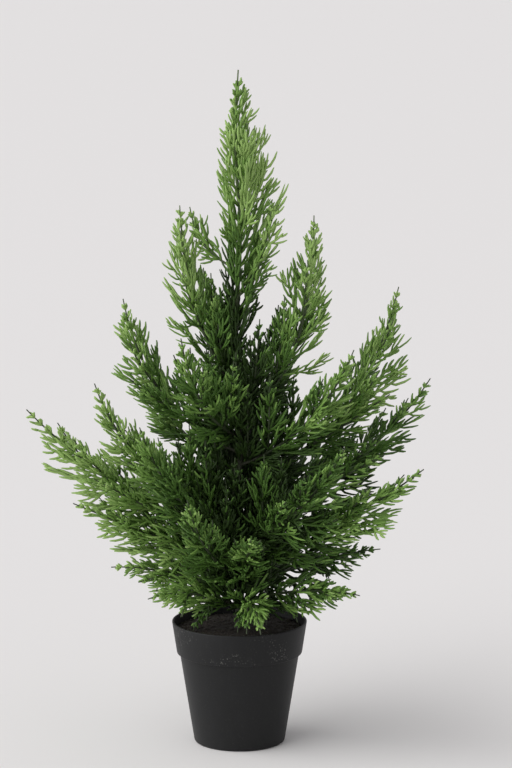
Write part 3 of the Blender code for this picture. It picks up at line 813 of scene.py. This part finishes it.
class Spray:
    """The foliage of one mass: spines and prongs that grow in whorls round its stems."""

    def __init__(self, settings, rng, lean=ARM_LEAN_DEG, heavy=Vector()):
        self.settings = settings
        self.rng = rng
        self.lean = lean
        self.heavy = heavy
        self.stem_light = 0.0
        self.spines = Strands()
        self.prongs = Strands()

    def whorls(self, stem, arms, pitch, most, growth, bare, full=1.0):
        """Whorls from the tip of a stem to its foot, closer together and smaller near the tip."""
        left, number = max(0.001, FIRST_BUD - bare), 0
        self.stem_light = 0.05 + self.rng.uniform(-STEM_CONTRAST, STEM_CONTRAST)
        while left < stem.length - 0.002:
            root, ahead = stem.at(stem.length - left)
            slim = full + (1.0 - full) * min(1.0, left / SLIM_LENGTH)
            length = min(most, ARM_LEAST + slim * growth * (left + bare - FIRST_BUD))
            length *= min(1.0, stem.foot_share + (stem.length - left) / LEADER_FOOT_FADE)
            phase = stem.phase + GOLDEN_ANGLE_DEG * number
            self.whorl(root, ahead, length, arms if length > TUFT_LENGTH else TUFT_ARMS, phase)
            left += pitch * min(1.10, 0.50 + 10.0 * (left + bare)) * self.rng.uniform(0.92, 1.08)
            number += 1

    def whorl(self, root, ahead, length, arms, phase):
        side = ahead.orthogonal().normalized()
        for k in range(arms):
            turn = math.radians(phase + 360.0 * k / arms + self.rng.uniform(-14, 14))
            out = math.cos(turn) * side + math.sin(turn) * ahead.cross(side)
            spot = root + ahead * self.rng.uniform(-0.0015, 0.0015)
            uneven = self.rng.uniform(0.80, 1.12) * (1.0 + self.heavy.dot(out))
            self.arm(spot, ahead, out, length * uneven)

    def arm(self, root, ahead, out, length):
        """A spine that leaves the stem sideways and curls up along it, with its prongs."""
        rng = self.rng
        lean = math.radians(self.lean + TIP_LEAN_DEG * max(0.0, 1.0 - length / TUFT_LENGTH) + rng.uniform(-9, 9))
        along = (math.cos(lean) * ahead + math.sin(lean) * out).normalized()
        tangent = ahead.cross(out).normalized()
        inwards = tangent.cross(along)
        if inwards.dot(ahead) < 0:
            inwards = -inwards
        bend = root + 0.5 * length * along
        end = root + length * (along + ARM_CURL * rng.uniform(0.7, 1.4) * inwards)
        if not clear_of_pot(end) or not clear_of_pot(bend):
            return
        twist = math.radians(rng.uniform(-75, 75))
        across = math.cos(twist) * tangent + math.sin(twist) * inwards
        shade = self.shade(end)
        self.finger_rows((root, bend, end), across, ahead, length, shade, length > FORKED_FROM)

    def finger_rows(self, line, across, up, length, shade, forked):
        """An arm with alternate prongs on both sides. A long arm has small arms among its prongs."""
        rng = self.rng
        start, bend, end = line
        flat = across.cross(end - start).normalized()
        self.spines.add(start, bend, end, flat, self.settings.prong_radius * 1.1, shade)
        count = max(2, round(0.7 + length / self.settings.prong_pitch))
        side = rng.choice((-1, 1))
        for k in range(count):
            u = FIRST_PRONG + (LAST_PRONG - FIRST_PRONG) * (k + rng.uniform(0.25, 0.75)) / count
            root = (1 - u) ** 2 * start + 2 * u * (1 - u) * bend + u * u * end
            ahead = ((1 - u) * (bend - start) + u * (end - bend)).normalized()
            side = -side
            if forked and k % 3 == 1 and u < 0.72:
                reach = FORK_SHARE * length * (1.1 - 0.7 * u) * rng.uniform(0.85, 1.15)
                fork = self.finger(root, ahead, side * across, up, reach)
                self.finger_rows(fork, across, up, reach, self.tone(shade, u), False)
                continue
            reach = min(PRONG_MOST, length * (PRONG_SHARE - PRONG_FALL * u), (1 - u) * length + 0.0045)
            reach = max(PRONG_LEAST, reach) * rng.uniform(0.8, 1.15)
            radius = self.settings.prong_radius * min(1.0, 0.8 + 10.0 * length)
            way = (side * across + rng.uniform(-PRONG_STRAY, PRONG_STRAY) * flat).normalized()
            line = self.finger(root, ahead, way, up, reach)
            self.prongs.add(*line, flat, radius, self.tone(shade, u))

    def finger(self, root, ahead, way, up, reach):
        """The bent line of a prong that leaves an arm sideways and turns up along it."""
        angle = math.radians(PRONG_ANGLE_DEG + self.rng.uniform(-6, 6))
        out = math.cos(angle * 1.7) * ahead + math.sin(angle * 1.7) * way
        tip = math.cos(angle * 0.8) * ahead + math.sin(angle * 0.8) * way
        tip = (tip + PRONG_RISE * self.rng.uniform(0.4, 1.4) * up).normalized()
        return root, root + 0.42 * reach * out, root + reach * tip

    def tone(self, shade, u):
        """Some of the fingers near the tip of an arm are a shade paler."""
        return min(PALE, shade + 1) if u > 0.6 and self.rng.random() < 0.35 else shade

    def shade(self, tip):
        """Paler towards the outside, the top and the left of the crown, deeper towards the trunk and the pot: painted
        light and shade of the crown, over a random tone for each stem and spray.
        """
        above, below = tip.z - POT_HIGH.z, TRUNK_HIGH.z - tip.z
        # Tips near the trunk and low by the pot get the deeper greens: painted shade inside the crown.
        crown = 0.012 + min(0.155, 0.42 * below, 0.09 + 0.7 * max(0.0, above))
        outside = min(1.2, math.hypot(tip.x, tip.y) / crown)
        # The higher a tip, the paler it is painted: painted light falling on the top of the crown, paler still up the
        # leader.
        height = min(1.0, max(0.0, above / 0.34))
        paler_top = min(1.0, max(0.0, (tip.z - PALER_FROM) / PALER_RISE))
        light = 0.72 * outside + 0.14 * height + 0.56 * paler_top + PAINTED_LIGHT_SIDE.dot(tip)
        light += self.stem_light + 0.18 * self.rng.random()
        return DEEP if light < 0.43 else MID if light < 0.66 else FRESH if light < 0.98 else PALE

    def join(self, other):
        """Takes over another spray's strands."""
        self.spines.extend(other.spines)
        self.prongs.extend(other.prongs)

    def build(self, name, materials):
        groups = (
            (self.spines, SPINE_STEPS, SPINE_PROFILE, 4, 0.8),
            (self.prongs, PRONG_STEPS, PRONG_PROFILE, 4, 0.85),
        )
        return strands_mesh(name, groups, materials)


def clear_of_pot(point):
    """True where a strand stays out of the pot's wall and the soil."""
    radius = math.hypot(point.x, point.y)
    if point.z > POT_HIGH.z + 0.001:
        return True
    return radius > POT_HIGH.x + 0.001 or (radius < POT_HIGH.x - 0.005 and point.z > FILL_HIGH.z)


# Operators


class PLANT_OT_pot(bpy.types.Operator):
    """Build the turned pot with its rim band"""

    bl_idname = "plant.pot"
    bl_label = "Pot"

    def execute(self, context):
        size = context.scene.plant_pot
        height, rim = POT_HIGH.z, POT_HIGH.x
        step = height - size.band_height
        foot = size.foot_radius
        body_top = 0.0533
        band = body_top + size.band_step
        lip = size.wall / 2
        outer = [(0.0, 0.0012), (foot - 0.010, 0.0012), (foot - 0.0092, 0.0002), (foot - 0.0085, 0.0)]
        outer += arc((foot - 0.0026, 0.0026), 0.0026, -90, -6, 6)
        outer += [(body_top - 0.0002, step - 0.0008)]
        outer += arc((body_top + 0.0008, step - 0.0008), 0.0010, 180, 90, 3)[1:]
        outer += arc((band - 0.0009, step + 0.0011), 0.0009, -80, 0, 4)
        outer += arc((rim - lip, height - lip), lip, 0, 180, 8)
        inner = [(band - size.wall, step + size.wall), (body_top - size.wall, step - 0.0004)]
        inner += [(foot - size.wall + 0.0006, 0.0040), (foot - size.wall - 0.0012, 0.0028), (0.0, 0.0028)]
        pot = turned_shell("pot_shell", outer + inner, size.sides)
        bpy.ops.object.shade_smooth_by_angle(angle=math.radians(35))
        finish_piece(pot, pot_plastic(size.colour, step), ("pot",))
        return {"FINISHED"}


class PLANT_OT_soil(bpy.types.Operator):
    """Build the lumpy top of the soil and its loose crumbs"""

    bl_idname = "plant.soil"
    bl_label = "Soil"

    def execute(self, context):
        settings = context.scene.plant_soil
        material = soil_finish("soil", settings.colour)
        paint_node("fill", material)
        finish_piece(soil_surface(settings), material)
        finish_piece(soil_crumbs(settings), material)
        return {"FINISHED"}


def paint_node(node, material):
    for slot in bpy.data.objects[node].material_slots:
        slot.material = material


def soil_surface(settings):
    """A thin lumpy disc that lies on the fill and closes against the wall of the pot."""
    deselect_all()
    radius = FILL_HIGH.x - 0.0002
    bpy.ops.mesh.primitive_grid_add(x_subdivisions=84, y_subdivisions=84, size=2 * radius)
    disc = bpy.context.object
    disc.name = "soil_surface"
    base = FILL_HIGH.z - 0.0015
    for vertex in disc.data.vertices:
        x, y = vertex.co.x, vertex.co.y
        across = max(abs(x), abs(y))
        flat = math.hypot(x, y)
        share = across / flat if flat > 0 else 1.0
        x, y = x * share, y * share
        spot = Vector((x, y, 0.0))
        lumps = noise.fractal(spot * 260.0, 0.9, 2.1, 5)
        edge = 1.0 - (math.hypot(x, y) / radius) ** 4
        vertex.co = (x, y, base + 0.0014 * edge + settings.relief * (0.35 + 0.5 * lumps))
    bpy.ops.object.mode_set(mode="EDIT")
    bpy.ops.mesh.select_all(action="SELECT")
    bpy.ops.mesh.extrude_region_move(TRANSFORM_OT_translate={"value": (0, 0, -0.004)})
    bpy.ops.transform.resize(value=(1, 1, 0))
    bpy.ops.mesh.select_all(action="SELECT")
    bpy.ops.mesh.normals_make_consistent(inside=False)
    bpy.ops.object.mode_set(mode="OBJECT")
    bpy.ops.object.shade_smooth()
    return disc


def soil_crumbs(settings):
    """Loose crumbs and short fibres, all in one mesh."""
    rng = random.Random(31)
    deselect_all()
    bpy.ops.mesh.primitive_ico_sphere_add(subdivisions=1, radius=1.0)
    ball = bpy.context.object
    shape = [vertex.co.copy() for vertex in ball.data.vertices]
    faces = [tuple(face.vertices) for face in ball.data.polygons]
    bpy.data.objects.remove(ball, do_unlink=True)
    corners, sides = [], []
    for _ in range(settings.crumbs):
        radius = (FILL_HIGH.x - 0.004) * math.sqrt(rng.random())
        turn = rng.uniform(0, math.tau)
        size = settings.crumb_size * rng.uniform(0.22, 1.0) ** 1.6
        stretch = Vector((rng.uniform(0.6, 1.8), rng.uniform(0.5, 1.0), rng.uniform(0.4, 0.8))) * size
        place = Vector((radius * math.cos(turn), radius * math.sin(turn), FILL_HIGH.z + 0.2 * size))
        turned = Matrix.Rotation(rng.uniform(0, math.tau), 3, "Z") @ Matrix.Rotation(rng.uniform(-0.5, 0.5), 3, "X")
        first = len(corners)
        for point in shape:
            local = Vector(point[i] * stretch[i] * rng.uniform(0.8, 1.2) for i in range(3))
            corners.append(place + turned @ local)
        sides += [tuple(first + corner for corner in face) for face in faces]
    mesh = bpy.data.meshes.new("soil_crumbs")
    mesh.from_pydata(corners, [], sides)
    crumbs = bpy.data.objects.new("soil_crumbs", mesh)
    bpy.context.collection.objects.link(crumbs)
    return crumbs


class PLANT_OT_trunk(bpy.types.Operator):
    """Build the wrapped trunk from the soil to the tip of the leader"""

    bl_idname = "plant.trunk"
    bl_label = "Trunk"

    def execute(self, context):
        settings = context.scene.plant_stem
        foot = trunk_foot()
        count = int((TRUNK_HIGH.z - foot) / settings.ring_pitch)
        heights = [foot - 0.002 + (TRUNK_HIGH.z - foot + 0.002) * i / count for i in range(count + 1)]
        line = [(trunk_centre(h), max(0.0002, trunk_radius(h))) for h in heights]
        trunk = limb_mesh("trunk_wrap", [line], 4)
        for vertex in trunk.data.vertices:
            centre = trunk_centre(vertex.co.z)
            vertex.co = centre + wrapped(vertex.co - centre, vertex.co.z, trunk_radius(vertex.co.z), settings)
        finish_piece(trunk, stem_finish("stem_wrap", settings.colour, settings.fresh), ("trunk",))
        return {"FINISHED"}


def wrapped(out, height, radius, settings):
    """Raises the edge of the wrapping tape, which climbs round a limb, and adds small lumps."""
    turn = math.atan2(out.y, out.x) / math.tau
    climb = (height / settings.wrap_pitch + turn) % 1.0
    lumps = noise.noise(Vector((out.x, out.y, height)) * 420.0)
    rise = settings.wrap_relief * min(1.0, radius / 0.002) * (climb**3 + 0.6 * lumps)
    return out * (1.0 + rise / max(radius, 0.0003))


class PLANT_OT_boughs(bpy.types.Operator):
    """Build the boughs and the fine stems that carry the sprays"""

    bl_idname = "plant.boughs"
    bl_label = "Boughs and stems"

    def execute(self, context):
        settings = context.scene.plant_stem
        material = bpy.data.materials["stem_wrap"]
        branches = [Branch(row) for row in BOUGHS]
        boughs = limb_mesh("bough_wraps", [bough_line(branch, settings) for branch in branches], 3)
        finish_piece(boughs, material, ["bough_" + branch.name for branch in branches])
        lines = [stem_line(stem) for stem in leader_shoots()]
        for number, branch in enumerate(branches):
            stems = stems_of(branch, random.Random(200 + number))
            for stem in stems + twigs_of(branch, stems[0], random.Random(300 + number)):
                lines.append(stem_line(stem))
        # The fine stems are painted darker below the leader, inside the crown: painted shade.
        fine = stem_finish("shoot_green", shaded(settings.fresh, 0.35), settings.fresh)
        finish_piece(limb_mesh("fine_stems", lines, 2), fine)
        return {"FINISHED"}


def bough_line(branch, settings):
    """The limb from inside the trunk to the foot of its foliage, with a slightly uneven wrap."""
    last = branch.mass_start() + 0.001
    count = max(8, int(last / settings.ring_pitch))
    line = []
    for i in range(count + 1):
        share = i / count
        climb = (share * last / settings.wrap_pitch) % 1.0
        radius = BOUGH_RADIUS + (STEM_RADIUS - BOUGH_RADIUS) * share + settings.wrap_relief * climb**3
        line.append((branch.along(share * last), radius))
    return line


def stem_line(stem):
    return [(p, stem_radius(stem.length - r, stem.thickest)) for p, r in zip(stem.points, stem.reach)]


class PLANT_OT_foliage(bpy.types.Operator):
    """Grow the sprays of every mass and of the leader"""

    bl_idname = "plant.foliage"
    bl_label = "Foliage"

    def execute(self, context):
        settings = context.scene.plant_foliage
        materials = [
            leaf_finish("leaf_deep", settings.deep, 0.50),
            leaf_finish("leaf_mid", settings.mid, 0.48),
            leaf_finish("leaf_fresh", settings.fresh, 0.46),
            leaf_finish("leaf_pale", settings.pale, 0.46),
        ]
        leader = Spray(settings, random.Random(100), LEADER_LEAN_DEG, Vector((LEADER_LOPSIDED, 0.0, 0.0)))
        growth = (LEADER_ARM_MOST, LEADER_ARM_GROWTH, LEADER_BARE)
        leader.whorls(leader_stem(), settings.arms + 1, settings.leader_pitch, *growth)
        core = Spray(settings, random.Random(101), CORE_LEAN_DEG, Vector((-CORE_LOPSIDED, 0.0, 0.0)))
        core.whorls(core_stem(), settings.arms, settings.whorl_pitch, CORE_ARM_MOST, 1.0, CORE_ARM_MOST)
        leader.join(core)
        for twig in leader_shoots():
            leader.whorls(twig, settings.arms, settings.whorl_pitch, LEADER_SHOOT_ARM_MOST, ARM_GROWTH, 0.0)
        hang(leader.build("sprays_leader", materials), "foliage_leader")
        for number, row in enumerate(BOUGHS):
            branch = Branch(row)
            full = branch.fullness()
            spray = Spray(settings, random.Random(500 + number), heavy=Vector((0.0, 0.0, full - 1.0)))
            stems = stems_of(branch, random.Random(200 + number))
            arms = settings.arms - (branch.end.z > AIRY_ABOVE)
            for stem in stems:
                spray.whorls(stem, arms, settings.whorl_pitch, ARM_MOST, ARM_GROWTH, 0.0, full)
            inner = inner_stem(branch)
            spray.whorls(inner, arms, INNER_PITCH, INNER_ARM_MOST, 1.0, INNER_ARM_MOST)
            for twig in twigs_of(branch, stems[0], random.Random(300 + number)):
                spray.whorls(twig, arms, settings.whorl_pitch, TWIG_ARM_MOST, ARM_GROWTH, 0.0)
            hang(spray.build("sprays_" + branch.name, materials), "foliage_" + branch.name)
        return {"FINISHED"}


def hang(piece, node):
    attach(piece, "root")
    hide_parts(node)


class PLANT_OT_stage(bpy.types.Operator):
    """Set up the floor, the light and the camera"""

    bl_idname = "plant.stage"
    bl_label = "Stage"

    def execute(self, context):
        settings = context.scene.plant_stage
        deselect_all()
        bpy.ops.mesh.primitive_plane_add(size=settings.floor_size, location=(0, 0, 0))
        floor = bpy.context.object
        floor.name = "studio_floor"
        floor.data.materials.append(floor_finish(settings.floor_colour))
        room_light(settings)
        key_light(settings)
        stand_camera(settings)
        return {"FINISHED"}


def room_light(settings):
    world = bpy.data.worlds.new("room_light")
    world.use_nodes = True
    background = world.node_tree.nodes["Background"]
    background.inputs["Color"].default_value = (*settings.sky_colour, 1.0)
    background.inputs["Strength"].default_value = 1.0
    bpy.context.scene.world = world
    bpy.context.scene.view_settings.view_transform = "Standard"


def key_light(settings):
    """A wide soft light from the upper left front."""
    deselect_all()
    bpy.ops.object.light_add(type="SUN", location=(-2, -2, 4))
    sun = bpy.context.object
    sun.name = "key_light"
    sun.data.energy = settings.sun_strength
    sun.data.angle = settings.sun_softness
    sun.rotation_euler = Vector((1.35, 0.5, -1.0)).to_track_quat("-Z", "Y").to_euler()


def stand_camera(settings):
    deselect_all()
    bpy.ops.object.camera_add(
        location=(settings.camera_side, -settings.camera_back, settings.camera_height),
        rotation=(math.radians(90) - settings.camera_pitch, 0, 0),
    )
    camera = bpy.context.object
    camera.name = "studio_camera"
    camera.data.sensor_width = 36.0
    camera.data.sensor_fit = "AUTO"
    camera.data.lens = settings.lens
    camera.data.clip_end = 500.0
    bpy.context.scene.camera = camera


class PLANT_PT_panel(bpy.types.Panel):
    """The plant's sizes, colours and steps"""

    bl_idname = "PLANT_PT_panel"
    bl_label = "Thuja"
    bl_space_type = "VIEW_3D"
    bl_region_type = "UI"
    bl_category = "Thuja"

    def draw(self, context):
        for title, group, operators in PANEL_ROWS:
            box = self.layout.box()
            box.label(text=title)
            settings = getattr(context.scene, group)
            for key in settings.__annotations__:
                box.prop(settings, key)
            for operator in operators:
                box.operator(operator)


PANEL_ROWS = (
    ("Pot", "plant_pot", ("plant.pot",)),
    ("Soil", "plant_soil", ("plant.soil",)),
    ("Trunk and boughs", "plant_stem", ("plant.trunk", "plant.boughs")),
    ("Foliage", "plant_foliage", ("plant.foliage",)),
    ("Stage", "plant_stage", ("plant.stage",)),
)
SETTINGS = {
    "plant_pot": PotSettings,
    "plant_soil": SoilSettings,
    "plant_stem": StemSettings,
    "plant_foliage": FoliageSettings,
    "plant_stage": StageSettings,
}
CLASSES = (
    PotSettings,
    SoilSettings,
    StemSettings,
    FoliageSettings,
    StageSettings,
    PLANT_OT_pot,
    PLANT_OT_soil,
    PLANT_OT_trunk,
    PLANT_OT_boughs,
    PLANT_OT_foliage,
    PLANT_OT_stage,
    PLANT_PT_panel,
)


def register():
    for cls in CLASSES:
        bpy.utils.register_class(cls)
    for name, group in SETTINGS.items():
        setattr(bpy.types.Scene, name, PointerProperty(type=group))


def unregister():
    for name in SETTINGS:
        delattr(bpy.types.Scene, name)
    for cls in reversed(CLASSES):
        bpy.utils.unregister_class(cls)


def main():
    register()
    bpy.ops.plant.stage()
    bpy.ops.plant.pot()
    bpy.ops.plant.soil()
    bpy.ops.plant.trunk()
    bpy.ops.plant.boughs()
    bpy.ops.plant.foliage()
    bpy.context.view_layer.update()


if __name__ == "__main__":
    main()
